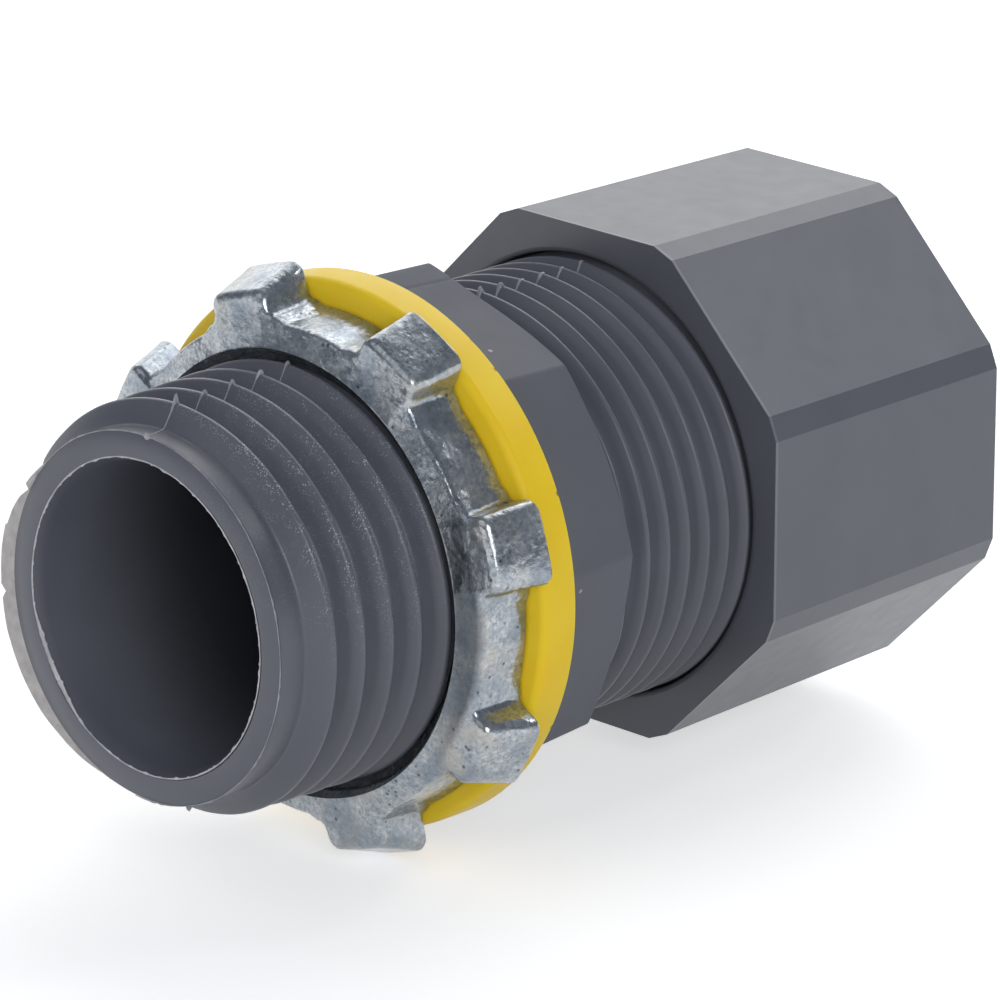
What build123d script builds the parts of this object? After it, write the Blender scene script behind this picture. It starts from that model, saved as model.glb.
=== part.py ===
from build123d import *
import math
import os

os.makedirs("parts", exist_ok=True)

# Liquid-tight strain relief connector for a round cord, half inch trade size.
# Sizes are in millimetres and degrees. The axis is Y: the hub points to -Y and the cord enters from +Y.
# The origin is on the axis, in the plane where the collar's front seats on the sealing ring.

# Hub, the tapered thread that goes through the knockout
hub_length = 15.0
hub_crest_radius = 10.56
hub_taper = 1 / 32
hub_lead_length = 1.7
hub_lead_drop = 1.51
hub_lead_rise = 0.6
hub_wall = 3.09
mouth_bevel = 0.35
mouth_bevel_depth = 0.12

# Octagonal collar between the two threads
collar_length = 5.5
collar_set_in = 0.8
collar_draft = 0.3
collar_turn = 5.5
collar_bevel_slope = 0.55

# Stub, the straight thread that the compression nut runs on
stub_step = 0.52
stub_thread_depth = 0.88
stub_wall = 1.15
stub_pitch = 1.411
stub_relief_length = 0.8
stub_lead_length = 0.8

# Conical seat and rubber grommet that grips the cord
seat_depth = 2.1
seat_angle = 30.0
grommet_nose_step = 0.47
grommet_nose_wall = 1.4
grommet_edge = 0.4
tighten_turns = 4.0

# Sealing ring
ring_thickness = 2.2
ring_width = 2.84
ring_edge = 0.2

# Locknut
locknut_thickness = 3.24
locknut_wall_front = 1.45
locknut_wall_back = 1.65
locknut_foot = 0.25
locknut_foot_length = 0.6
locknut_mouth_bevel = 0.27
lug_count = 8
lug_turn = 16.0
lug_width = 4.0
lug_rise_front = 1.35
lug_rise_back = 2.15
lug_corner = 0.7

# Compression nut
nut_length = 16.96
nut_wall = 1.25
nut_corner_rise = 0.78
nut_rest_gap = 9.22
nut_draft = 0.32
nut_mouth_depth = 1.4
nut_end_wall = 1.98
nut_relief_length = 2.2
nut_relief_rise = 0.6
nut_edge = 0.3
nut_hole_bevel = 0.6

# Slip washer
washer_thickness = 0.8

# Clearances
face_gap = 0.03
thread_clearance = 0.15
mouth_clearance = 0.37
ring_clearance = 0.19
grommet_clearance = 0.15
grommet_seat_gap = 0.2
washer_clearance = 0.3
stub_end_room = 2.056
washer_hole_room = 0.6
nut_hole_room = 1.2

# Stations along the axis, from the hub's mouth to the back of the nut
octagon = 8
half_side_turn = 180 / octagon
mouth_station = -hub_length
lead_station = mouth_station + hub_lead_length
locknut_back = -(ring_thickness + 2 * face_gap)
locknut_front = locknut_back - locknut_thickness
stub_start = collar_length
seat_station = collar_length + seat_depth
nut_front = collar_length + nut_rest_gap
nut_back = nut_front + nut_length
end_wall_station = nut_back - nut_end_wall
washer_back = end_wall_station - face_gap
washer_front = washer_back - washer_thickness
grommet_back = washer_front - face_gap
tighten_travel = tighten_turns * stub_pitch
stub_end = end_wall_station - tighten_travel - stub_end_room

# Radii, which all follow from the hub's crest, the walls and the clearances
hub_lead_radius = hub_crest_radius - hub_lead_drop
hub_bore_radius = hub_crest_radius - hub_wall
stub_crest_radius = hub_crest_radius + stub_step
stub_root_radius = stub_crest_radius - stub_thread_depth
cup_radius = stub_root_radius - stub_wall
grommet_radius = cup_radius - grommet_clearance
grommet_nose_radius = hub_bore_radius - grommet_nose_step
grommet_hole_radius = grommet_nose_radius - grommet_nose_wall
ring_hole_radius = hub_crest_radius + ring_clearance
ring_radius = ring_hole_radius + ring_width
locknut_bore_radius = hub_crest_radius + thread_clearance
nut_bore_radius = stub_crest_radius + thread_clearance
nut_mouth_radius = stub_crest_radius + mouth_clearance
nut_relief_radius = stub_root_radius + mouth_clearance + thread_clearance
nut_flat_front = nut_mouth_radius + nut_wall
nut_corner_front = nut_flat_front + nut_corner_rise
nut_back_scale = (nut_flat_front - nut_draft) / nut_flat_front
collar_front_radius = nut_flat_front - collar_set_in
collar_back_radius = collar_front_radius - collar_draft
washer_radius = nut_relief_radius - washer_clearance
washer_hole_radius = grommet_hole_radius + washer_hole_room
nut_hole_radius = grommet_hole_radius + nut_hole_room


def across(y):
    """Plane across the axis at one station, with X to the right and Z up."""
    return Plane.XZ.offset(-y)


def hub_crest(y):
    """Crest radius of the tapered hub at one station."""
    return hub_crest_radius + hub_taper * y


def seat(radius):
    """Station where the conical seat has the given radius."""
    return seat_station + (radius - hub_bore_radius) / math.tan(math.radians(seat_angle))


def half_section(*corners):
    """Closed profile of radius and station, to be revolved about the axis."""
    with BuildSketch(Plane.XY) as section:
        with BuildLine():
            Polyline(*corners, close=True)
        make_face()
    return section.sketch


# Connector body: hub, collar and stub moulded in one, with a stepped bore
collar_reach = collar_back_radius / math.cos(math.radians(half_side_turn)) + collar_draft
collar_bevel_drop = (collar_reach - collar_back_radius) * collar_bevel_slope
lead_crest_station = lead_station + hub_lead_rise
stub_thread_start = stub_start + stub_relief_length
stub_lead_station = stub_end - stub_lead_length

with BuildPart() as connector_body:
    with BuildSketch(across(0)):
        RegularPolygon(collar_front_radius, octagon, major_radius=False, rotation=collar_turn)
    with BuildSketch(across(collar_length)):
        RegularPolygon(collar_back_radius, octagon, major_radius=False, rotation=collar_turn)
    loft()
    collar_blank = half_section(
        (0, 0),
        (collar_reach, 0),
        (collar_reach, collar_length - collar_bevel_drop),
        (collar_back_radius, collar_length),
        (0, collar_length),
    )
    revolve(collar_blank, axis=Axis.Y, mode=Mode.INTERSECT)
    hub_section = half_section(
        (0, mouth_station),
        (hub_lead_radius, mouth_station),
        (hub_lead_radius, lead_station),
        (hub_crest(lead_crest_station), lead_crest_station),
        (hub_crest_radius, 0),
        (0, 0),
    )
    revolve(hub_section, axis=Axis.Y)
    stub_section = half_section(
        (0, stub_start),
        (stub_root_radius, stub_start),
        (stub_root_radius, stub_thread_start),
        (stub_crest_radius, stub_thread_start + stub_thread_depth),
        (stub_crest_radius, stub_lead_station),
        (stub_root_radius, stub_end),
        (0, stub_end),
    )
    revolve(stub_section, axis=Axis.Y)
    bore_section = half_section(
        (0, mouth_station),
        (hub_bore_radius + mouth_bevel, mouth_station),
        (hub_bore_radius, mouth_station + mouth_bevel_depth),
        (hub_bore_radius, seat_station),
        (cup_radius, seat(cup_radius)),
        (cup_radius, stub_end - grommet_edge),
        (cup_radius + grommet_edge, stub_end),
        (0, stub_end),
    )
    revolve(bore_section, axis=Axis.Y, mode=Mode.SUBTRACT)
connector_body.part.label = "connector_body"

# Sealing ring between the collar and the locknut
with BuildPart() as sealing_ring:
    ring_front = -(ring_thickness + face_gap)
    ring_section = half_section(
        (ring_hole_radius, ring_front),
        (ring_radius, ring_front),
        (ring_radius, -face_gap),
        (ring_hole_radius, -face_gap),
    )
    revolve(ring_section, axis=Axis.Y)
    rim_edges = sealing_ring.edges().filter_by(GeomType.CIRCLE).group_by(SortBy.RADIUS)[-1]
    chamfer(rim_edges, length=ring_edge)
sealing_ring.part.label = "sealing_ring"

# One lug of the locknut, tapered from its high back edge to its low front edge
locknut_front_radius = locknut_bore_radius + locknut_wall_front
locknut_back_radius = locknut_bore_radius + locknut_wall_back
lug_root_radius = locknut_bore_radius + locknut_wall_front / 2


def lug_section(y, outer_radius):
    """Cross-section of a lug with its two outer corners rounded."""
    with BuildSketch(across(y)) as section:
        with Locations(((lug_root_radius + outer_radius) / 2, 0)):
            Rectangle(outer_radius - lug_root_radius, lug_width)
        fillet(section.vertices().group_by(Axis.X)[-1], radius=lug_corner)
    return section.sketch


with BuildPart() as lug:
    lug_front = lug_section(locknut_front, locknut_front_radius + lug_rise_front)
    lug_back = lug_section(locknut_back, locknut_back_radius + lug_rise_back)
    loft([lug_front, lug_back])

# Locknut: a threaded zinc ring with driving lugs around it
with BuildPart() as locknut:
    ring_wall = half_section(
        (locknut_bore_radius + locknut_mouth_bevel, locknut_front),
        (locknut_front_radius, locknut_front),
        (locknut_back_radius, locknut_back - locknut_foot_length),
        (locknut_back_radius + locknut_foot, locknut_back),
        (locknut_bore_radius, locknut_back),
        (locknut_bore_radius, locknut_front + locknut_mouth_bevel),
    )
    revolve(ring_wall, axis=Axis.Y)
    for number in range(lug_count):
        add(lug.part.rotate(Axis.Y, -(lug_turn + number * 360 / lug_count)))
locknut.part.label = "locknut"

# Compression nut: an octagon with bevelled corners, open at the front, with a cord hole in its end wall
with BuildPart() as compression_nut:
    for nut_station, scale_there in ((nut_front, 1), (nut_back, nut_back_scale)):
        with BuildSketch(across(nut_station)):
            RegularPolygon(
                nut_flat_front * scale_there, octagon, major_radius=False, rotation=half_side_turn
            )
            RegularPolygon(
                nut_corner_front * scale_there, octagon, major_radius=False, mode=Mode.INTERSECT
            )
    loft()
    chamfer(compression_nut.faces().sort_by(Axis.Y)[-1].edges(), length=nut_edge)
    nut_thread_end = end_wall_station - nut_relief_length
    cavity = half_section(
        (0, nut_front),
        (nut_mouth_radius, nut_front),
        (nut_mouth_radius, nut_front + nut_mouth_depth),
        (nut_bore_radius, nut_front + nut_mouth_depth),
        (nut_bore_radius, nut_thread_end),
        (nut_relief_radius, nut_thread_end + nut_relief_rise),
        (nut_relief_radius, end_wall_station),
        (nut_hole_radius, end_wall_station),
        (nut_hole_radius, nut_back - nut_hole_bevel),
        (nut_hole_radius + nut_hole_bevel, nut_back),
        (0, nut_back),
    )
    revolve(cavity, axis=Axis.Y, mode=Mode.SUBTRACT)
compression_nut.part.label = "compression_nut"

# Slip washer that lets the nut turn without twisting the grommet
with BuildPart() as slip_washer:
    washer_section = half_section(
        (washer_hole_radius, washer_front),
        (washer_radius, washer_front),
        (washer_radius, washer_back),
        (washer_hole_radius, washer_back),
    )
    revolve(washer_section, axis=Axis.Y)
slip_washer.part.label = "slip_washer"

# Cord grommet, with a tapered nose that stops on the seat when the nut is tight
with BuildPart() as cord_grommet:
    nose_shift = tighten_travel + grommet_seat_gap
    nose_station = seat(grommet_nose_radius) + nose_shift
    grommet_section = half_section(
        (grommet_hole_radius + grommet_edge, nose_station),
        (grommet_nose_radius, nose_station),
        (grommet_radius, seat(grommet_radius) + nose_shift),
        (grommet_radius, grommet_back - grommet_edge),
        (grommet_radius - grommet_edge, grommet_back),
        (grommet_hole_radius, grommet_back),
        (grommet_hole_radius, nose_station + grommet_edge),
    )
    revolve(grommet_section, axis=Axis.Y)
cord_grommet.part.label = "cord_grommet"

export_step(connector_body.part, "parts/connector_body.step")
export_step(sealing_ring.part, "parts/sealing_ring.step")
export_step(locknut.part, "parts/locknut.step")
export_step(compression_nut.part, "parts/compression_nut.step")
export_step(slip_washer.part, "parts/slip_washer.step")
export_step(cord_grommet.part, "parts/cord_grommet.step")
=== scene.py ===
import math

import bmesh
import bpy
import numpy as np
from mathutils import Matrix, Vector


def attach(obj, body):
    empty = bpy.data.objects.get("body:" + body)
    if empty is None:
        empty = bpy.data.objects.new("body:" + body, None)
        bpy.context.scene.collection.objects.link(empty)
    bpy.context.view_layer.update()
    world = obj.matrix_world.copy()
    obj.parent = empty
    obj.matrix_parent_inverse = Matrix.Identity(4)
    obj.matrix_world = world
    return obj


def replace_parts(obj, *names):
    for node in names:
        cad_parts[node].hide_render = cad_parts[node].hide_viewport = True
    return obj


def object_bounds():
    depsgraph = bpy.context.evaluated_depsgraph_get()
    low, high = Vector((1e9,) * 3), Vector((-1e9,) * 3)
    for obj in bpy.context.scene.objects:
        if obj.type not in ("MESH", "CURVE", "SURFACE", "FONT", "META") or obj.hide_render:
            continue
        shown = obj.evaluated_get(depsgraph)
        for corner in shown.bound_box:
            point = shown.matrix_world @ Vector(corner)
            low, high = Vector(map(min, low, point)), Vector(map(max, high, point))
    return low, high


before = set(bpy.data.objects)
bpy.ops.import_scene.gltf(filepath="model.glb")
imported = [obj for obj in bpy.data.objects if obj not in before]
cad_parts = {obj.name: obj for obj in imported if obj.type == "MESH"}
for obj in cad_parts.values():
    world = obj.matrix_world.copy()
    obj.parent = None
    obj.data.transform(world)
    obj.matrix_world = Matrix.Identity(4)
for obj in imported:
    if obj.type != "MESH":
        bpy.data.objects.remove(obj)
cad_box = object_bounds()

# Sizes below are in millimetres and degrees, in the frame of the part; MM turns them into metres.
# The axis of the connector is Y. Angles round it are counted from +X towards +Z.
MM = 0.001

# Points closer than this are welded, and edges that bend more than this are rounded
WELD_DISTANCE = 0.0008
SHARP_ANGLE = 20

# Where most of a noise's values lie, and the share of a spot's radius that is fully covered
NOISE_SPAN = (0.3, 0.7)
NEAR_CORE = 0.35

# Male thread: height over the root at a distance from the crest's middle, as shares of the
# thread's depth and pitch
FORM_AWAY = (0.0, 0.045, 0.080, 0.110, 0.255, 0.400, 0.450, 0.500)
FORM_HEIGHT = (1.0, 0.990, 0.955, 0.900, 0.490, 0.080, 0.015, 0.0)

# Female thread, at a distance from the middle of the male one's crest, and its fade at both ends
FEMALE_AWAY = (0.0, 0.20, 0.44, 0.5)
FEMALE_HEIGHT = (0.0, 0.0, 1.0, 1.0)
FEMALE_FADE = 0.5

# Parting line of the mould, at the top and the bottom
PARTING_ANGLES = (89.0, 269.0)

# Hub thread, tapered, and the mouth it starts from
HUB_PITCH = 1.814
HUB_CREST = 10.56
HUB_ROOT = 9.46
HUB_TAPER = 1 / 32
HUB_MOUTH = -15.0
HUB_CREST_AT_ZERO = -12.55
HUB_THREAD_ENDS = (147, 157)
HUB_RIPPLE = 0.012
END_FACE_RADIUS = 9.03
BORE_RADIUS = 7.47
BORE_MOUTH_RADIUS = 7.80
BORE_BEVEL_DEPTH = 0.6

# Octagonal collar, with a crease at the parting line and a fuller corner beside it, and its flecks
SIDES = 8
SIDE_ANGLE = 360 / SIDES
COLLAR_SHARPNESS = 300
COLLAR_FLAT_FRONT = 11.9
COLLAR_FLAT_BACK = 11.6
COLLAR_BACK = 5.5
COLLAR_BEVEL = 0.55
COLLAR_EDGE = 0.06
COLLAR_CORNER_AT = 5.5
COLLAR_TOP_CORNER = 95.5
COLLAR_TOP_WIDTH = 12
COLLAR_TOP_RISE = 0.22
CREASE_WIDTH = 0.5
CREASE_DEPTH = 0.07
FLECKS = ((61.0, 2.1, 12.0), (1.5, 1.4, 12.4))
FLECK_REACH = 0.16

# Stub thread, straight, and the seat and cup inside it
STUB_PITCH = 1.411
STUB_CREST = 11.08
STUB_ROOT = 10.2
STUB_THREAD_ENDS = (335, 388)
STUB_RIPPLE = 0.010
STUB_LEAD = 21.2
STUB_END = 22.0
STUB_CREST_AT_ZERO = 7.62
SEAT_STATION = 7.6
CUP_STATION = 10.34
CUP_RADIUS = 9.05
CUP_BEVEL = 0.4

# Fins at the parting line: thickness, rise in the valleys of the thread, and rise of the nubs
FIN_STEP = 0.045
HUB_FIN_END = -5.6
HUB_FIN_THICKNESS = 0.15
HUB_FIN_RISE = 0.035
HUB_NUB_RISE = 0.30
FIRST_NUB_END = -12.3
FIRST_NUB_RISE = 0.20
FIRST_RIDGE_RISE = 0.05
STUB_FIN_THICKNESS = 0.30
STUB_FIN_RISE = 0.02
STUB_NUB_RISE = 0.30
STUB_NUB_RISE_IN_NUT = 0.09

# Outer radius of the film left on the mouth's left side, where the thread's last turn was cut off
FILM_OUTLINE = (
    (136, 9.03),
    (144, 9.25),
    (149.6, 9.42),
    (150.4, 9.12),
    (155, 9.45),
    (160, 9.64),
    (165.5, 9.75),
    (166.2, 9.88),
    (173, 9.95),
    (184, 9.98),
    (186, 9.70),
    (188, 9.98),
    (197, 10.05),
    (210, 9.95),
    (222, 9.78),
    (230, 9.55),
    (240, 9.34),
    (250, 9.08),
    (256, 9.03),
)

# Flash along the mouth's edges: a hook on the outer bead at the top, a smear of the inner one
BEAD_SIDES = 6
BEAD_FLATNESS = 0.7
HOOK_AT = 88
HOOK_WIDTH = 1.0
HOOK_RISE = 0.16
SMEAR_AT = 212
SMEAR_WIDTH = 18
SMEAR_RISE = 0.12

# Locknut; its outlines give the ring's radius, the top and half width of a lug, and the fillet
LOCKNUT_FRONT = -5.5
LOCKNUT_BACK = -2.26
LOCKNUT_BORE = 10.71
LOCKNUT_MOUTH = 10.98
LOCKNUT_THREAD_DEPTH = 0.75
LOCKNUT_ROUNDING = 0.38
LOCKNUT_SLOPE = 0.32
LOCKNUT_SAG = (-0.04, 0, -0.17)
FRONT_OUTLINE = (12.2, 13.7, 1.9, 0.5)
WAIST_OUTLINE = (12.3, 14.25, 2.0, 0.5)
BACK_OUTLINE = (12.55, 14.47, 2.05, 0.4)
LUG_COUNT = 8
LUG_AT = 17.0
LUG_CORNER = 0.7

# Sealing ring, and the nicks on its back edge
RING_HOLE = 10.75
RING_RADIUS = 13.59
RING_FRONT = -2.23
RING_BACK = -0.03
RING_FRONT_EDGE = 0.4
RING_BACK_EDGE = 0.2
NICKS = ((52, -0.1, 13.59), (24, -0.1, 13.59), (-27, -0.1, 13.59), (60, -0.05, 13.6))
NICK_REACH = 0.2

# Thread inside the compression nut, the lip at its mouth and the rounding of its edges
NUT_FRONT = 14.72
NUT_LIP = 11.22
NUT_BORE = 11.23
NUT_REACH = 9.05
NUT_THREAD_FRONT = 16.2
NUT_THREAD_BACK = 27.4
NUT_THREAD_DEPTH = 0.6
NUT_THREAD_BEHIND = 0.3
NUT_ROUNDING_ALONG = 0.5
NUT_ROUNDING = 0.17

# Camera fitted to the photograph, whose frame is 1000 pixels wide
CAMERA_AZIMUTH = 44.034
CAMERA_ELEVATION = 18.776
CAMERA_ROLL = 0.147
CAMERA_DISTANCE = 375.03
CAMERA_TARGET = (-2.710, 11.616, -1.248)
CAMERA_LENS = 273.89

# Stage: half the floor's width in metres, its glow, and the colours of the backdrop and the room
FLOOR_REACH = 3.0
FLOOR_GLOW = 0.55
BACKDROP_SIDE = (-0.69, 0.70, 0.16)
BACKDROP = (1.0, 1.0, 1.0, 1)
ROOM = (0.14, 0.16, 0.19, 1)

# Distant lamps: name, azimuth as the camera's, elevation, strength and spread
SUNS = (
    ("back", 195, 52, 0.62, 45),
    ("glint", 152, 40, 0.22, 10),
    ("behind", 221, 30, 0.58, 60),
    ("left", 350, 40, 0.30, 50),
    ("front", 56, 23, 0.95, 30),
)


def srgb(red, green, blue):
    """Linear colour of an sRGB colour given from 0 to 255."""
    linear = []
    for value in (red, green, blue):
        share = value / 255
        linear.append(share / 12.92 if share < 0.04045 else ((share + 0.055) / 1.055) ** 2.4)
    return (*linear, 1.0)


def polar(angle, station, radius):
    """Point in millimetres at an angle round the axis, a station along it and a radius."""
    turn = math.radians(angle)
    return (radius * math.cos(turn), station, radius * math.sin(turn))


def add_object(name, data):
    """New object in the scene."""
    added = bpy.data.objects.new(name, data)
    bpy.context.scene.collection.objects.link(added)
    return added


# Node helpers
class Nodes:
    """Builds one material from short calls, with object coordinates as its base."""

    def __init__(self, name):
        self.material = bpy.data.materials.new(name)
        self.material.use_nodes = True
        self.tree = self.material.node_tree
        self.shader = self.tree.nodes["Principled BSDF"]
        self.place = self.add("ShaderNodeTexCoord").outputs["Object"]
        self.split = self.add("ShaderNodeSeparateXYZ")
        self.link(self.place, self.split.inputs["Vector"])

    def add(self, kind, **values):
        node = self.tree.nodes.new(kind)
        for key, value in values.items():
            setattr(node, key, value)
        return node

    def link(self, source, target):
        self.tree.links.new(source, target)

    def feed(self, value, target):
        """Links a socket to the target, or sets a constant on it."""
        if isinstance(value, bpy.types.NodeSocket):
            self.link(value, target)
        else:
            target.default_value = value

    def shade(self, **values):
        """Feeds inputs of the shader, named with an underscore for each space."""
        for name, value in values.items():
            self.feed(value, self.shader.inputs[name.replace("_", " ")])

    def math(self, operation, *values):
        """Result of a math node, whose values are numbers or sockets."""
        node = self.add("ShaderNodeMath", operation=operation)
        for value, target in zip(values, node.inputs):
            self.feed(value, target)
        return node.outputs[0]

    def axis(self, name):
        """One object coordinate, in metres."""
        return self.split.outputs[name]

    def radius_over_taper(self):
        """Distance from the axis, with the hub's taper taken out, in metres."""
        flat = self.add("ShaderNodeCombineXYZ")
        for name in ("X", "Z"):
            self.link(self.axis(name), flat.inputs[name])
        length = self.add("ShaderNodeVectorMath", operation="LENGTH")
        self.link(flat.outputs["Vector"], length.inputs[0])
        return self.math("MULTIPLY_ADD", self.axis("Y"), -HUB_TAPER, length.outputs["Value"])

    def noise(self, scale, detail=3.0, roughness=0.5, distortion=0.0):
        """Noise between 0 and 1; scale is features in a metre."""
        node = self.add("ShaderNodeTexNoise")
        node.inputs["Scale"].default_value = scale
        node.inputs["Detail"].default_value = detail
        node.inputs["Roughness"].default_value = roughness
        node.inputs["Distortion"].default_value = distortion
        self.link(self.place, node.inputs["Vector"])
        return node.outputs["Fac"]

    def cells(self, scale):
        """Distance to the nearest of scattered points."""
        node = self.add("ShaderNodeTexVoronoi")
        node.inputs["Scale"].default_value = scale
        self.link(self.place, node.inputs["Vector"])
        return node.outputs["Distance"]

    def range(self, source, low, high, to_low, to_high):
        """Value that goes from to_low to to_high while the source goes from low to high."""
        node = self.add("ShaderNodeMapRange")
        limits = {"From Min": low, "From Max": high, "To Min": to_low, "To Max": to_high}
        for key, value in limits.items():
            node.inputs[key].default_value = value
        self.link(source, node.inputs["Value"])
        return node.outputs["Result"]

    def reach(self, source, low, high, to_low, to_high):
        """The same for a length, with low and high in millimetres."""
        return self.range(source, low * MM, high * MM, to_low, to_high)

    def vary(self, scale, low, high, detail=3.0):
        """Value that noise varies from low to high."""
        return self.range(self.noise(scale, detail=detail), *NOISE_SPAN, low, high)

    def near(self, point, reach):
        """1 at a point given in millimetres, falling to 0 at the reach."""
        node = self.add("ShaderNodeVectorMath", operation="DISTANCE")
        node.inputs[1].default_value = [value * MM for value in point]
        self.link(self.place, node.inputs[0])
        return self.reach(node.outputs["Value"], reach * NEAR_CORE, reach, 1.0, 0.0)

    def times(self, product, *factors):
        """Product of two or more values."""
        for factor in factors:
            product = self.math("MULTIPLY", product, factor)
        return product

    def ramp(self, source, stops):
        """Colour ramp through (position, colour) stops."""
        node = self.add("ShaderNodeValToRGB")
        elements = node.color_ramp.elements
        while len(elements) < len(stops):
            elements.new(0.5)
        for element, (position, colour) in zip(elements, stops):
            element.position = position
            element.color = colour
        self.link(source, node.inputs["Fac"])
        return node.outputs["Color"]

    def mottle(self, scale, dark, light):
        """Colour that noise varies between two others."""
        return self.ramp(self.noise(scale), tuple(zip(NOISE_SPAN, (dark, light))))

    def mix(self, factor, first, second):
        """Colour mix; first and second are colours or sockets."""
        node = self.add("ShaderNodeMix", data_type="RGBA")
        for value, target in zip((factor, first, second), (node.inputs[i] for i in (0, 6, 7))):
            self.feed(value, target)
        return node.outputs[2]

    def bump(self, heights):
        """Chains bumps given as (height, strength, distance in mm) and feeds them to the shader."""
        normal = None
        for height, strength, distance in heights:
            node = self.add("ShaderNodeBump")
            node.inputs["Strength"].default_value = strength
            node.inputs["Distance"].default_value = distance * MM
            self.link(height, node.inputs["Height"])
            if normal is not None:
                self.link(normal, node.inputs["Normal"])
            normal = node.outputs["Normal"]
        self.shade(Normal=normal)


def grey_plastic():
    """Satin moulded plastic, slightly blue and finely grained.

    It has painted glints on the right of the hub's crests and painted shade deep in the bore. It is
    duller on the collar, and has pale flecks on the collar and a painted highlight line along the
    nut's front edge.
    """
    n = Nodes("grey_plastic")
    along, outward = n.axis("Y"), n.radius_over_taper()
    colour = n.mottle(220, srgb(92, 95, 104), srgb(97, 100, 109))

    # Painted glints: pale specks on the right of the hub near its crests, where highlights fall
    dots = n.range(n.cells(10000), 0.19, 0.34, 1.0, 0.0)
    patches = n.range(n.noise(1500, detail=4, roughness=0.7), 0.44, 0.58, 0.0, 1.0)
    on_hub = n.reach(along, -6.0, -4.5, 1.0, 0.0)
    on_right = n.near(polar(47, -10, 10.4), 9.5)
    near_crest = n.reach(outward, 10.0, 10.5, 0.22, 1.0)
    painted_glints = n.times(dots, patches, on_hub, on_right, near_crest)
    colour = n.mix(painted_glints, colour, srgb(204, 206, 214))

    for fleck in FLECKS:
        colour = n.mix(n.near(polar(*fleck), FLECK_REACH), colour, srgb(190, 184, 184))

    # Painted shade: the bore's wall darkens further inside, up to the cup
    deep = n.reach(along, -12.5, -5.0, 0.0, 0.8)
    in_bore = n.reach(outward, 8.1, 8.3, 1.0, 0.0)
    before_cup = n.reach(along, 12.0, 13.0, 1.0, 0.0)
    colour = n.mix(n.times(deep, in_bore, before_cup), colour, srgb(56, 58, 63))

    # Painted highlight: a light line along the outside of the nut's front edge
    past_edge = n.reach(along, NUT_FRONT + 0.02, NUT_FRONT + 0.07, 0.0, 0.45)
    before_flat = n.reach(along, NUT_FRONT + 0.15, NUT_FRONT + 0.21, 1.0, 0.0)
    outside = n.reach(outward, 11.6, 11.8, 0.0, 1.0)
    colour = n.mix(n.times(past_edge, before_flat, outside), colour, srgb(140, 143, 151))

    over_collar = n.reach(along, COLLAR_BACK, COLLAR_BACK + 0.2, 1.0, 0.0)
    past_front = n.reach(along, -0.2, 0.1, 0.0, 0.3)
    wide = n.reach(outward, 11.0, 11.2, 0.0, 1.0)
    duller = n.times(over_collar, past_front, wide)
    roughness = n.math("ADD", n.vary(900, 0.33, 0.38, detail=4), duller)
    n.shade(Base_Color=colour, Roughness=roughness, IOR=1.5)
    n.bump(((n.noise(6500, detail=2), 0.16, 0.012),))
    return n.material


def flash_plastic(name, dark, light):
    """Film, beads and fins of the same plastic at the mould's edges, paler where light passes."""
    n = Nodes(name)
    n.shade(Base_Color=n.mottle(1400, dark, light), Roughness=n.vary(1800, 0.25, 0.45), IOR=1.5)
    n.bump(((n.noise(2600), 0.4, 0.04),))
    return n.material


def yellow_plastic():
    """Bright yellow moulded ring, smooth, with small nicks on its back edge."""
    n = Nodes("yellow_plastic")
    colour = n.mottle(260, srgb(254, 209, 22), srgb(255, 216, 36))
    for nick in NICKS:
        colour = n.mix(n.near(polar(*nick), NICK_REACH), colour, srgb(96, 88, 52))
    n.shade(Base_Color=colour, Roughness=n.vary(700, 0.42, 0.52), IOR=1.45)
    n.shade(Subsurface_Weight=0.3, Subsurface_Scale=0.0012, Subsurface_Radius=(1.0, 0.7, 0.2))
    n.bump(((n.noise(2600), 0.12, 0.02), (n.noise(300, detail=2), 0.2, 0.05)))
    return n.material


def zinc():
    """Plated zinc casting: shiny, a little wavy and finely grained, stained bluish and warm.

    It has small dark pits and painted shade on the right of the ring's front.
    """
    n = Nodes("zinc")
    grain = n.ramp(
        n.noise(4300, detail=4, roughness=0.7, distortion=0.3),
        (
            (0.30, srgb(122, 130, 139)),
            (0.45, srgb(165, 171, 177)),
            (0.60, srgb(189, 193, 196)),
            (0.78, srgb(232, 234, 234)),
        ),
    )
    blue = n.range(n.noise(430, roughness=0.6), 0.44, 0.66, 0.0, 0.7)
    warm = n.range(n.noise(310, detail=2), 0.54, 0.68, 0.0, 0.5)
    stained = n.mix(warm, n.mix(blue, grain, srgb(122, 134, 147)), srgb(196, 190, 178))
    pits = n.range(n.cells(1500), 0.10, 0.16, 0.8, 0.0)
    some = n.range(n.noise(500), 0.48, 0.56, 0.0, 1.0)
    pitted = n.mix(n.times(pits, some), stained, srgb(72, 78, 84))
    # Painted shade: the ring's front face is darkened on its right side, where it reflects darker
    # surroundings
    at_front = n.reach(n.axis("Y"), -5.0, -4.6, 1.0, 0.0)
    on_ring = n.reach(n.radius_over_taper(), 12.15, 12.50, 0.9, 0.0)
    on_right = n.reach(n.axis("X"), 9.0, 11.2, 0.0, 0.9)
    colour = n.mix(n.times(at_front, on_ring, on_right), pitted, srgb(62, 68, 74))
    roughness = n.range(n.noise(1100, detail=4), 0.3, 0.75, 0.13, 0.34)
    n.shade(Base_Color=colour, Roughness=roughness, Metallic=0.78)
    n.bump(
        (
            (n.noise(520), 0.6, 0.22),
            (n.noise(1900, roughness=0.6), 0.5, 0.05),
            (n.noise(4600, roughness=0.6), 0.4, 0.018),
        )
    )
    return n.material


def washer_plastic():
    """Natural nylon of the slip washer."""
    n = Nodes("washer_plastic")
    colour = n.mottle(300, srgb(214, 210, 196), srgb(226, 223, 211))
    n.shade(Base_Color=colour, Roughness=n.vary(900, 0.4, 0.5))
    n.bump(((n.noise(2500), 0.15, 0.02),))
    return n.material


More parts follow.
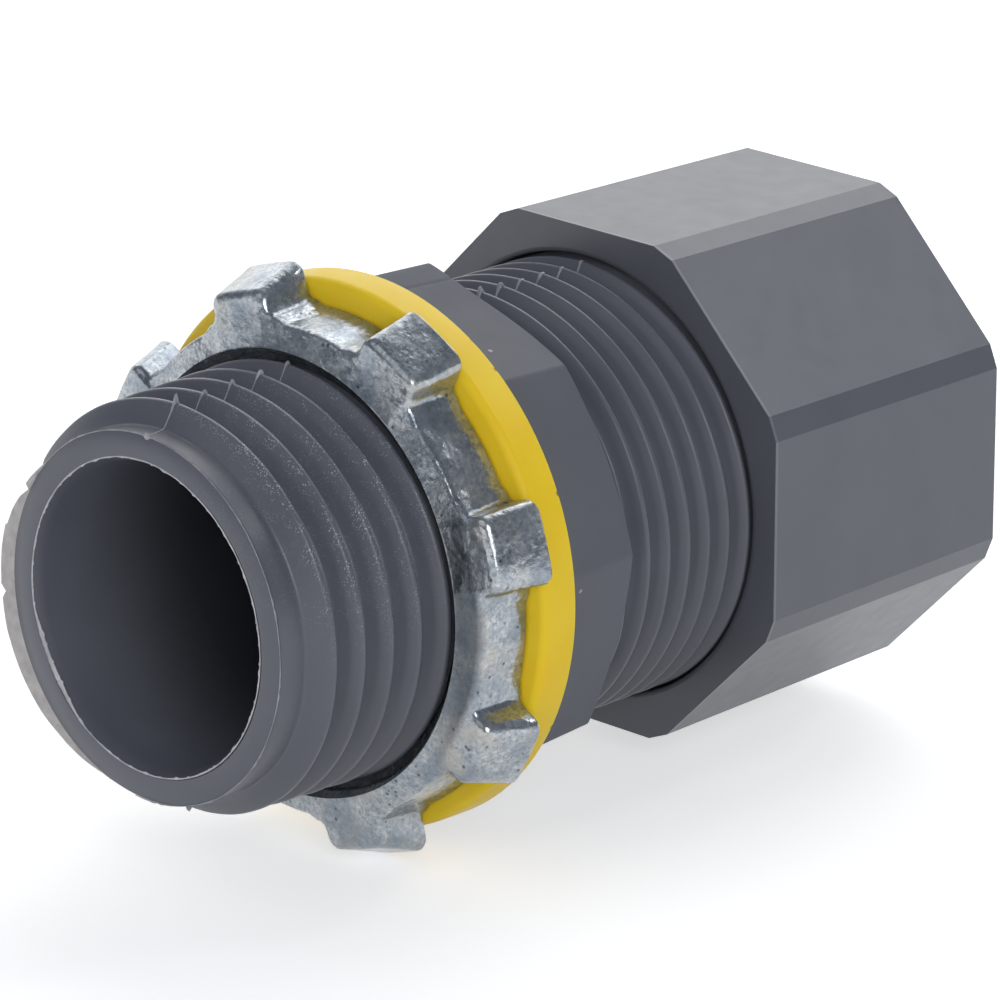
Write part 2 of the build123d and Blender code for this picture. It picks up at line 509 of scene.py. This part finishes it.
def black_rubber():
    """Matt moulded rubber of the cord grommet."""
    n = Nodes("black_rubber")
    colour = n.mottle(350, srgb(36, 36, 39), srgb(48, 48, 51))
    n.shade(Base_Color=colour, Roughness=n.vary(1200, 0.6, 0.75))
    n.bump(((n.noise(3000), 0.3, 0.03),))
    return n.material


GREY = grey_plastic()
FILM = flash_plastic("mould_film", srgb(172, 166, 164), srgb(198, 193, 191))
FIN = flash_plastic("mould_fin", srgb(128, 129, 135), srgb(176, 176, 182))
BEAD = flash_plastic("mould_bead", srgb(168, 167, 172), srgb(216, 214, 218))
YELLOW = yellow_plastic()
ZINC = zinc()
WASHER = washer_plastic()
RUBBER = black_rubber()


# Mesh helpers
def grid_mesh(rows, wrap):
    """Mesh over rows of points, with coinciding ones welded; wrap closes each row on itself."""
    mesh = bmesh.new()
    verts = [[mesh.verts.new(point) for point in row] for row in rows]
    columns = len(rows[0])
    last = columns if wrap else columns - 1
    for below, above in zip(verts, verts[1:]):
        for i in range(last):
            k = (i + 1) % columns
            mesh.faces.new((below[i], below[k], above[k], above[i]))
    bmesh.ops.remove_doubles(mesh, verts=mesh.verts, dist=WELD_DISTANCE)
    return mesh


def make_piece(
    name, rows, material, smooth_angle, body="connector_body", wrap=False
):
    """Turns rows of points in millimetres into a piece that rides on a body."""
    mesh = grid_mesh(rows, wrap)
    data = bpy.data.meshes.new(name)
    bmesh.ops.scale(mesh, vec=(MM, MM, MM), verts=mesh.verts)
    bmesh.ops.recalc_face_normals(mesh, faces=mesh.faces)
    mesh.to_mesh(data)
    mesh.free()
    data.materials.append(material)
    data.shade_smooth()
    data.set_sharp_from_angle(angle=math.radians(smooth_angle))
    piece = add_object(name, data)
    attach(piece, body)
    return piece


def round_rows(radii, stations, angles):
    """Points at the radius and station of each angle; radii and stations are numbers or arrays."""
    turn = np.radians(angles)
    radius = np.broadcast_to(radii, turn.shape)
    station = np.broadcast_to(stations, turn.shape)
    return np.stack((radius * np.cos(turn), station, radius * np.sin(turn)), axis=1)


def smooth_step(value, low, high):
    """Share that goes smoothly from 0 to 1 while the value goes from low to high."""
    share = np.clip((value - low) / (high - low), 0, 1)
    return share * share * (3 - 2 * share)


def bell(angles, middle, width, power=2):
    """Curve that is 1 at the middle angle and falls to about a third at the width from it."""
    return np.exp(-(((angles - middle) / width) ** power))


def waver(angles, seed, count=5):
    """Uneven curve between -1 and 1 round the axis, the same at 0 and 360 degrees."""
    total = np.zeros_like(angles)
    for number in range(count):
        waves = 3 + 7 * number + seed % 5
        phase = np.radians(angles) * waves + seed * 1.3 + number * 2.1
        total += np.sin(phase) / (1 + 0.6 * number)
    return total / 2.6


def column_angles():
    """Angles round the axis, closer at the parting line and at each corner of the collar."""
    angles = set(np.round(np.arange(0.6, 360, 1.2), 3))
    for middle in PARTING_ANGLES:
        angles.update(np.round(middle + np.arange(-1.2, 1.21, 0.3), 3))
    for corner in range(SIDES):
        for away in (-0.4, 0.0, 0.4):
            angles.add(round(COLLAR_CORNER_AT + SIDE_ANGLE * corner + away, 3))
    return np.array([0.0] + sorted(angles) + [360.0])


def octagon_radius(angles, flat):
    """Radius of an octagon with slightly rounded corners, given its apothem."""
    total = np.zeros_like(angles)
    for side in range(SIDES):
        away = np.radians(angles - (COLLAR_CORNER_AT + SIDE_ANGLE / 2 + SIDE_ANGLE * side))
        total += np.maximum(np.cos(away), 0) ** COLLAR_SHARPNESS
    return flat / total ** (1 / COLLAR_SHARPNESS)


# Threads
def nearest_crest(stations, angles, pitch, crest_at_zero):
    """Distance to the nearest crest, as a share of the pitch, and the wound angle of that crest.

    The wound angle grows along the helix towards the mouth and is 0 at the angle 0 where the crest
    passes crest_at_zero.
    """
    turns = (stations - crest_at_zero) / pitch + angles / 360
    nearest = np.floor(turns + 0.5)
    return np.abs(turns - nearest), angles - 360 * nearest


def thread_rows(angles, pitch, crest_at_zero, start, end, radius_at):
    """Rows along a right-hand helix; radius_at(station, height, wound) gives their radii."""
    shares = [-away for away in reversed(FORM_AWAY[1:])] + list(FORM_AWAY[:-1])
    first = math.floor((start - crest_at_zero) / pitch) - 1
    last = math.ceil((end - crest_at_zero) / pitch) + 2
    rows = []
    for ridge in range(first, last + 1):
        for share in shares:
            helix = crest_at_zero + pitch * (ridge + share - angles / 360)
            station = np.clip(helix, start, end)
            away, wound = nearest_crest(station, angles, pitch, crest_at_zero)
            height = np.interp(away, FORM_AWAY, FORM_HEIGHT)
            rows.append(round_rows(radius_at(station, height, wound), station, angles))
    return rows


def female_rows(angles, stations, bore, depth, pitch, crest_at_zero):
    """Rows of a thread that fills the valleys of the male one, with room all round."""
    start, end = min(stations), max(stations)
    rows = []
    for station in stations:
        away, _ = nearest_crest(station, angles, pitch, crest_at_zero)
        height = np.interp(away, FEMALE_AWAY, FEMALE_HEIGHT)
        risen = smooth_step(station, start, start + FEMALE_FADE)
        ends = risen * (1 - smooth_step(station, end - FEMALE_FADE, end))
        rows.append(round_rows(bore - depth * height * ends, station, angles))
    return rows


# Body of the connector
def build_hub():
    """Tapered hub with its helical thread, mouth face and bore up to the collar plane."""
    angles = column_angles()

    def radius_at(station, height, wound):
        root = HUB_ROOT + HUB_TAPER * station
        share = 1 - smooth_step(wound, *HUB_THREAD_ENDS)
        ripple = HUB_RIPPLE * waver(angles, 3) * height
        return root + share * ((HUB_CREST - HUB_ROOT) * height + ripple)

    rows = [
        round_rows(BORE_RADIUS, 0.0, angles),
        round_rows(BORE_RADIUS, HUB_MOUTH + BORE_BEVEL_DEPTH, angles),
        round_rows(BORE_MOUTH_RADIUS, HUB_MOUTH, angles),
        round_rows(END_FACE_RADIUS - 0.05, HUB_MOUTH, angles),
        round_rows(END_FACE_RADIUS, HUB_MOUTH + 0.05, angles),
    ]
    rows += thread_rows(angles, HUB_PITCH, HUB_CREST_AT_ZERO, HUB_MOUTH + 0.12, 0.0, radius_at)
    return make_piece("connector_hub", rows, GREY, 55)


def build_stub():
    """Octagonal collar and straight stub with its helical thread and inner bore."""
    angles = column_angles()
    fuller = bell(angles, COLLAR_TOP_CORNER, COLLAR_TOP_WIDTH)
    crease = -CREASE_DEPTH * bell(angles, PARTING_ANGLES[0], CREASE_WIDTH)
    front = octagon_radius(angles, COLLAR_FLAT_FRONT) + crease + COLLAR_TOP_RISE * 0.6 * fuller
    back = octagon_radius(angles, COLLAR_FLAT_BACK) + crease + COLLAR_TOP_RISE * fuller

    def back_station(radius):
        return COLLAR_BACK - (radius - COLLAR_FLAT_BACK) * COLLAR_BEVEL * (1 - 0.5 * fuller)

    def radius_at(station, height, wound):
        share = 1 - smooth_step(wound, *STUB_THREAD_ENDS)
        fall = 1 - smooth_step(station, STUB_LEAD, STUB_END)
        ripple = STUB_RIPPLE * waver(angles, 8) * height
        return STUB_ROOT + share * fall * ((STUB_CREST - STUB_ROOT) * height + ripple)

    inner_back = np.minimum(back - 0.1, COLLAR_FLAT_BACK + 0.9)
    thread_start = COLLAR_BACK + 0.2
    rows = [
        round_rows(BORE_RADIUS, 0.0, angles),
        round_rows(front - COLLAR_EDGE, 0.0, angles),
        round_rows(front, COLLAR_EDGE, angles),
        round_rows(back, back_station(back) - COLLAR_EDGE, angles),
        round_rows(back - 0.05, back_station(back), angles),
        round_rows(inner_back, back_station(back - 0.1), angles),
        round_rows(COLLAR_FLAT_BACK - 0.12, COLLAR_BACK, angles),
        round_rows(STUB_ROOT + 0.15, COLLAR_BACK, angles),
        round_rows(STUB_ROOT, COLLAR_BACK + 0.15, angles),
    ]
    rows += thread_rows(
        angles, STUB_PITCH, STUB_CREST_AT_ZERO, thread_start, STUB_END, radius_at
    )
    rows += [
        round_rows(CUP_RADIUS + CUP_BEVEL, STUB_END, angles),
        round_rows(CUP_RADIUS, STUB_END - CUP_BEVEL, angles),
        round_rows(CUP_RADIUS, CUP_STATION, angles),
        round_rows(BORE_RADIUS, SEAT_STATION, angles),
        round_rows(BORE_RADIUS, 0.0, angles),
    ]
    return make_piece("connector_stub", rows, GREY, 35)


# Moulding waste on the body
def build_film():
    """Film on the mouth's left side: a wedge with its front in the plane of the mouth."""
    angles = np.arange(FILM_OUTLINE[0][0], FILM_OUTLINE[-1][0] + 0.01, 0.4)
    outer = np.interp(angles, *zip(*FILM_OUTLINE)) + 0.012 * waver(angles * 3, 2)
    wedge = (outer - END_FACE_RADIUS) * 0.45
    rows = [
        round_rows(END_FACE_RADIUS - 0.2, HUB_MOUTH + 0.01, angles),
        round_rows(outer - 0.02, HUB_MOUTH + 0.02, angles),
        round_rows(outer, HUB_MOUTH + 0.06, angles),
        round_rows(outer - 0.02, HUB_MOUTH + 0.10, angles),
        round_rows(END_FACE_RADIUS - 0.1, HUB_MOUTH + 0.14 + wedge, angles),
    ]
    make_piece("mouth_film", rows + rows[:1], FILM, 40)


def build_bead(name, angles, radii, station, thickness, material):
    """Thin uneven bead along an edge of the mouth."""
    rows = []
    for side in range(BEAD_SIDES + 1):
        turn = 2 * math.pi * side / BEAD_SIDES
        away = thickness * math.cos(turn)
        rise = thickness * BEAD_FLATNESS * math.sin(turn)
        rows.append(round_rows(radii + away, station + rise, angles))
    make_piece(name, rows, material, 60)


def build_beads():
    """Flash along the outer and inner edges of the end face."""
    angles = np.arange(-95, 150.1, 0.5)
    jag = np.abs(waver(angles * 2, 4, 6))
    hook = HOOK_RISE * bell(angles, HOOK_AT, HOOK_WIDTH)
    radius = END_FACE_RADIUS + 0.03 * jag
    build_bead("outer_flash", angles, radius, HUB_MOUTH, 0.02 + 0.035 * jag + hook, FIN)

    angles = np.arange(0, 360.1, 0.5)
    jag = 0.6 * np.abs(waver(angles * 3, 7, 6)) + 0.6 * np.abs(waver(angles * 7, 2, 6))
    right = np.clip(np.cos(np.radians(angles)) + 0.2, 0, 1)
    smear = bell(angles, SMEAR_AT, SMEAR_WIDTH, power=4)
    radius = BORE_MOUTH_RADIUS - 0.02 - 0.10 * right - 0.04 * jag - 0.08 * smear
    station = HUB_MOUTH + 0.03 + 0.10 * smear
    thickness = 0.03 + 0.045 * jag + SMEAR_RISE * smear * (0.7 + 0.3 * jag)
    build_bead("inner_flash", angles, radius, station, thickness, BEAD)


def build_fin(name, angle, start, end, profile, thickness):
    """Thin fin in the mould's parting plane.

    profile(stations, angle) gives the radius of the thread and the rise of the fin over it.
    """
    stations = np.arange(start, end, FIN_STEP)
    radius, rise = profile(stations, angle)
    ragged = 0.5 + 0.5 * np.sin(stations * 23 + angle) * np.sin(stations * 9.1 + 2)
    top = radius + rise * (0.75 + 0.25 * ragged)
    lean = 0.5 * thickness * np.sin(stations * 5.3)
    width = thickness * (0.4 + 0.6 * np.clip(rise / 0.15, 0, 1))
    foot, shoulder = radius - 0.25, top - 0.4 * rise
    rows = []
    for level, side in ((foot, -1), (shoulder, -0.8), (top, 0), (shoulder, 0.8), (foot, 1)):
        away = (side * width / 2 + lean * (level - foot)) / level
        turn = np.radians(angle) + away
        rows.append(np.stack((level * np.cos(turn), stations, level * np.sin(turn)), axis=1))
    make_piece(name, rows + rows[:1], FIN, 50)


def build_fins():
    """Fins on the hub's and the stub's threads at the parting line, with a nub on each crest."""

    def on_hub(stations, angle):
        away, wound = nearest_crest(stations, angle, HUB_PITCH, HUB_CREST_AT_ZERO)
        height = np.interp(away, FORM_AWAY, FORM_HEIGHT)
        share = 1 - smooth_step(wound, *HUB_THREAD_ENDS)
        radius = HUB_ROOT + HUB_TAPER * stations + share * (HUB_CREST - HUB_ROOT) * height
        vary = 0.7 + 0.3 * np.sin(wound / 360 * 2.9 + 1.9)
        first = np.where(np.abs(wound - angle) < 180, 1.0, 0.0) * (stations < FIRST_NUB_END)
        nub = np.clip((height - 0.72) / 0.28, 0, 1) ** 1.4
        crest_rise = share * (HUB_NUB_RISE * vary + FIRST_NUB_RISE * first) * nub
        return radius, HUB_FIN_RISE + crest_rise + FIRST_RIDGE_RISE * first * height

    def on_stub(stations, angle):
        away, wound = nearest_crest(stations, angle, STUB_PITCH, STUB_CREST_AT_ZERO)
        height = np.interp(away, FORM_AWAY, FORM_HEIGHT)
        share = 1 - smooth_step(wound, *STUB_THREAD_ENDS)
        radius = STUB_ROOT + share * (STUB_CREST - STUB_ROOT) * height
        vary = 0.7 + 0.3 * np.sin(wound / 360 * 4.1 + 0.4)
        tall = np.where(stations < NUT_REACH, STUB_NUB_RISE, STUB_NUB_RISE_IN_NUT)
        nub = np.clip((height - 0.6) / 0.4, 0, 1)
        return radius, STUB_FIN_RISE + share * tall * vary * nub

    hub = (HUB_MOUTH + 0.2, HUB_FIN_END, on_hub, HUB_FIN_THICKNESS)
    stub = (COLLAR_BACK + 0.3, NUT_FRONT + 0.1, on_stub, STUB_FIN_THICKNESS)
    for side, middle in zip(("top", "bottom"), PARTING_ANGLES):
        build_fin("hub_fin_" + side, middle, *hub)
        build_fin("stub_fin_" + side, middle, *stub)


# Locknut, sealing ring and thread of the compression nut
def lug_outline(ring, top, half_width, fillet):
    """Closed outline of the locknut across the axis: a ring with rounded lugs, as X and Z."""
    inner = top - LUG_CORNER, half_width - LUG_CORNER
    half = [(top + 0.04, 0.0), (top + 0.02, half_width * 0.4)]
    for turn in np.radians((0, 22, 45, 68, 90)):
        half.append(
            (inner[0] + LUG_CORNER * math.cos(turn), inner[1] + LUG_CORNER * math.sin(turn))
        )
    for turn in np.radians((0, 30, 60, 90)):
        half.append(
            (ring + fillet - fillet * math.sin(turn), half_width + fillet - fillet * math.cos(turn))
        )
    lug_end = math.degrees(math.atan2(half_width + fillet, ring))
    gap_middle = 180 / LUG_COUNT
    for share in (0.2, 0.4, 0.6, 0.8):
        turn = math.radians(lug_end + (gap_middle - lug_end) * share)
        half.append((ring * math.cos(turn), ring * math.sin(turn)))
    turn = math.radians(gap_middle)
    middle = (ring * math.cos(turn), ring * math.sin(turn))
    one = [(x, -z) for x, z in reversed(half[1:])] + half + [middle]
    points = []
    for number in range(LUG_COUNT):
        turn = math.radians(LUG_AT + number * 360 / LUG_COUNT)
        cosine, sine = math.cos(turn), math.sin(turn)
        points += [(x * cosine - z * sine, x * sine + z * cosine) for x, z in one]
    return np.array(points)


def inset(outline, depth):
    """The outline moved inwards by a depth along its own normals, deeper at the lugs."""
    along = np.roll(outline, -1, axis=0) - np.roll(outline, 1, axis=0)
    along /= np.linalg.norm(along, axis=1)[:, None]
    outward = np.stack((along[:, 1], -along[:, 0]), axis=1)
    reach = np.linalg.norm(outline, axis=1)
    at_lug = (reach - reach.min()) / (reach.max() - reach.min())
    return outline - outward * (depth * (0.7 + 0.6 * at_lug))[:, None]


def outline_row(outline, station):
    """The outline as a row of points at a station along the axis."""
    return np.stack((outline[:, 0], np.full(len(outline), station), outline[:, 1]), axis=1)


def build_locknut():
    """Cast locknut with eight driving lugs, rounded edges, a bevelled mouth and a thread inside."""
    front, waist, back = (
        lug_outline(*sizes) for sizes in (FRONT_OUTLINE, WAIST_OUTLINE, BACK_OUTLINE)
    )
    angles = np.degrees(np.arctan2(waist[:, 1], waist[:, 0])) % 360
    stations = np.linspace(LOCKNUT_BACK - 0.1, LOCKNUT_FRONT + 0.45, 30)
    shoulder = LOCKNUT_FRONT + LOCKNUT_SLOPE
    rounding = LOCKNUT_ROUNDING
    rows = [round_rows(LOCKNUT_BORE, LOCKNUT_BACK, angles)]
    rows += female_rows(
        angles, stations, LOCKNUT_BORE, LOCKNUT_THREAD_DEPTH, HUB_PITCH, HUB_CREST_AT_ZERO
    )
    rows += [
        round_rows(LOCKNUT_BORE + 0.03, LOCKNUT_FRONT + 0.28, angles),
        round_rows(LOCKNUT_MOUTH - 0.03, LOCKNUT_FRONT + 0.05, angles),
        round_rows(LOCKNUT_MOUTH + 0.04, LOCKNUT_FRONT - 0.02, angles),
        round_rows(LOCKNUT_MOUTH + 0.12, LOCKNUT_FRONT + 0.02, angles),
        outline_row(inset(front, rounding), shoulder),
        outline_row(inset(front, rounding * 0.5), shoulder + rounding * 0.13),
        outline_row(inset(front, rounding * 0.13), shoulder + rounding * 0.5),
        outline_row(front, shoulder + rounding),
        outline_row(waist, LOCKNUT_BACK - 0.8),
        outline_row(back, LOCKNUT_BACK - 0.2),
        outline_row(inset(back, 0.06), LOCKNUT_BACK - 0.05),
        outline_row(inset(back, 0.2), LOCKNUT_BACK),
        round_rows(LOCKNUT_BORE, LOCKNUT_BACK, angles),
    ]
    rows = [row + np.array(LOCKNUT_SAG) for row in rows]
    return make_piece("locknut_casting", rows, ZINC, 40, "locknut", wrap=True)


def build_ring():
    """Sealing ring with well rounded outer edges."""
    angles = np.arange(0, 360.1, 2.0)
    rows = [round_rows(RING_HOLE, station, angles) for station in (RING_BACK, RING_FRONT)]
    edges = ((RING_FRONT_EDGE, RING_FRONT, 1), (RING_BACK_EDGE, RING_BACK, -1))
    for edge, station, way in edges:
        for turn in np.radians((90, 70, 50, 30, 12, 0))[::way]:
            radius = RING_RADIUS - edge + edge * math.cos(turn)
            rows.append(round_rows(radius, station + way * edge * (1 - math.sin(turn)), angles))
    rows.append(rows[0])
    return make_piece("ring_moulding", rows, YELLOW, 30, "sealing_ring")


def build_nut_thread():
    """Female thread inside the compression nut, with the narrow lip at its mouth."""
    angles = np.arange(0, 360.1, 3.0)
    stations = np.linspace(NUT_THREAD_FRONT, NUT_THREAD_BACK, 91)
    behind = NUT_BORE + NUT_THREAD_BEHIND
    rows = [
        round_rows(behind, NUT_FRONT + 0.01, angles),
        round_rows(NUT_LIP + 0.07, NUT_FRONT + 0.01, angles),
        round_rows(NUT_LIP, NUT_FRONT + 0.08, angles),
        round_rows(NUT_LIP, NUT_THREAD_FRONT - 0.1, angles),
    ]
    rows += female_rows(
        angles, stations, NUT_BORE, NUT_THREAD_DEPTH, STUB_PITCH, STUB_CREST_AT_ZERO
    )
    rows.append(round_rows(behind, NUT_THREAD_BACK, angles))
    rows.append(rows[0])
    make_piece("nut_thread", rows, GREY, 50, "compression_nut")


hub = build_hub()
stub = build_stub()
casting = build_locknut()
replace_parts(hub, "connector_body")
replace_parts(stub, "connector_body")
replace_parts(casting, "locknut")
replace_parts(build_ring(), "sealing_ring")
build_film()
build_beads()
build_fins()
build_nut_thread()


# Pieces carried over from the solids, with fine edge rounding
def round_edges(piece, along_axis, elsewhere):
    """Rounds the sharp edges, those that run along the axis by a width of their own."""
    mesh = bmesh.new()
    mesh.from_mesh(piece.data)
    widths = []
    for edge in mesh.edges:
        run = edge.verts[1].co - edge.verts[0].co
        sharp = len(edge.link_faces) == 2 and edge.calc_face_angle(0) > math.radians(SHARP_ANGLE)
        width = along_axis if abs(run.y) > 0.9 * run.length else elsewhere
        widths.append(width if sharp else 0.0)
    mesh.free()
    widest = max(along_axis, elsewhere)
    weights = piece.data.attributes.new("bevel_weight_edge", "FLOAT", "EDGE")
    weights.data.foreach_set("value", [width / widest for width in widths])
    bevel = piece.modifiers.new("edges", "BEVEL")
    bevel.width = widest * MM
    bevel.segments = 3
    bevel.limit_method = "WEIGHT"
    bevel.harden_normals = True


def dress(node, material):
    """Gives a solid of the frame its material."""
    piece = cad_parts[node]
    piece.data.materials.clear()
    piece.data.materials.append(material)
    return piece


round_edges(dress("compression_nut", GREY), NUT_ROUNDING_ALONG, NUT_ROUNDING)
dress("slip_washer", WASHER)
dress("cord_grommet", RUBBER)


# Stage: pale floor, soft light from above and a camera at the photograph's viewing angle
def build_floor():
    """White table, which glows to camera, glossy and transmission rays as the photograph's does."""
    low = min(cad_box[0].z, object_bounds()[0].z)
    mesh = bpy.data.meshes.new("floor")
    quarters = ((-1, -1), (1, -1), (1, 1), (-1, 1))
    corners = [(x * FLOOR_REACH, y * FLOOR_REACH, low) for x, y in quarters]
    mesh.from_pydata(corners, [], [(0, 1, 2, 3)])
    floor = add_object("floor", mesh)
    n = Nodes("floor")
    n.shade(Base_Color=(0.86, 0.86, 0.86, 1), Roughness=0.9, Specular_IOR_Level=0.0)
    rays = n.add("ShaderNodeLightPath").outputs
    seen = n.math("MAXIMUM", rays["Is Camera Ray"], rays["Is Glossy Ray"])
    seen = n.math("MAXIMUM", seen, rays["Is Transmission Ray"])
    glow = n.add("ShaderNodeEmission")
    glow.inputs["Color"].default_value = (1, 1, 1, 1)
    n.link(n.range(seen, 0, 1, 0.0, FLOOR_GLOW), glow.inputs["Strength"])
    total = n.add("ShaderNodeAddShader")
    n.link(n.shader.outputs[0], total.inputs[0])
    n.link(glow.outputs[0], total.inputs[1])
    n.link(total.outputs[0], n.tree.nodes["Material Output"].inputs["Surface"])
    mesh.materials.append(n.material)


def build_world():
    """White backdrop behind the connector and low all round, and a dim, bluish room elsewhere."""
    world = bpy.data.worlds.new("studio")
    bpy.context.scene.world = world
    world.use_nodes = True
    tree = world.node_tree
    sky = tree.nodes.new("ShaderNodeTexCoord").outputs["Generated"]

    def lobe(towards, low, high):
        """Share that grows as the sky's direction nears another one."""
        dot = tree.nodes.new("ShaderNodeVectorMath")
        dot.operation = "DOT_PRODUCT"
        dot.inputs[1].default_value = towards
        tree.links.new(sky, dot.inputs[0])
        share = tree.nodes.new("ShaderNodeMapRange")
        share.interpolation_type = "SMOOTHSTEP"
        share.inputs["From Min"].default_value = low
        share.inputs["From Max"].default_value = high
        tree.links.new(dot.outputs["Value"], share.inputs["Value"])
        return share.outputs["Result"]

    either = tree.nodes.new("ShaderNodeMath")
    either.operation = "MAXIMUM"
    tree.links.new(lobe(BACKDROP_SIDE, 0.45, 0.93), either.inputs[0])
    tree.links.new(lobe((0, 0, -1), -0.12, -0.05), either.inputs[1])
    colour = tree.nodes.new("ShaderNodeMix")
    colour.data_type = "RGBA"
    colour.inputs[6].default_value = ROOM
    colour.inputs[7].default_value = BACKDROP
    tree.links.new(either.outputs[0], colour.inputs["Factor"])
    tree.links.new(colour.outputs[2], tree.nodes["Background"].inputs["Color"])
    tree.nodes["Background"].inputs["Strength"].default_value = 1.0


def direction(azimuth, elevation):
    """Unit vector from the connector; azimuth is counted from -Y towards +X."""
    turn, rise = math.radians(azimuth), math.radians(elevation)
    level = math.cos(rise)
    return Vector((math.sin(turn) * level, -math.cos(turn) * level, math.sin(rise)))


def add_sun(name, azimuth, elevation, strength, spread):
    """Distant lamp that shines from the given direction."""
    data = bpy.data.lights.new(name, "SUN")
    data.energy = strength
    data.angle = math.radians(spread)
    lamp = add_object(name, data)
    lamp.rotation_mode = "QUATERNION"
    lamp.rotation_quaternion = (-direction(azimuth, elevation)).to_track_quat("-Z", "Y")


def build_camera():
    """Camera of the photograph."""
    back = direction(CAMERA_AZIMUTH, CAMERA_ELEVATION)
    turn, roll = math.radians(CAMERA_AZIMUTH), math.radians(CAMERA_ROLL)
    right = Vector((math.cos(turn), math.sin(turn), 0))
    up = back.cross(right)
    rolled_right = right * math.cos(roll) + up * math.sin(roll)
    rolled_up = up * math.cos(roll) - right * math.sin(roll)
    data = bpy.data.cameras.new("camera")
    data.lens = CAMERA_LENS
    data.sensor_width = 36.0
    data.clip_start = 0.01
    camera = add_object("camera", data)
    axes = Matrix((rolled_right, rolled_up, back)).transposed()
    camera.rotation_mode = "QUATERNION"
    camera.rotation_quaternion = axes.to_quaternion()
    camera.location = (Vector(CAMERA_TARGET) + back * CAMERA_DISTANCE) * MM
    bpy.context.scene.camera = camera


build_floor()
build_world()
for sun in SUNS:
    add_sun(*sun)
build_camera()

scene = bpy.context.scene
scene.view_settings.view_transform = "Standard"
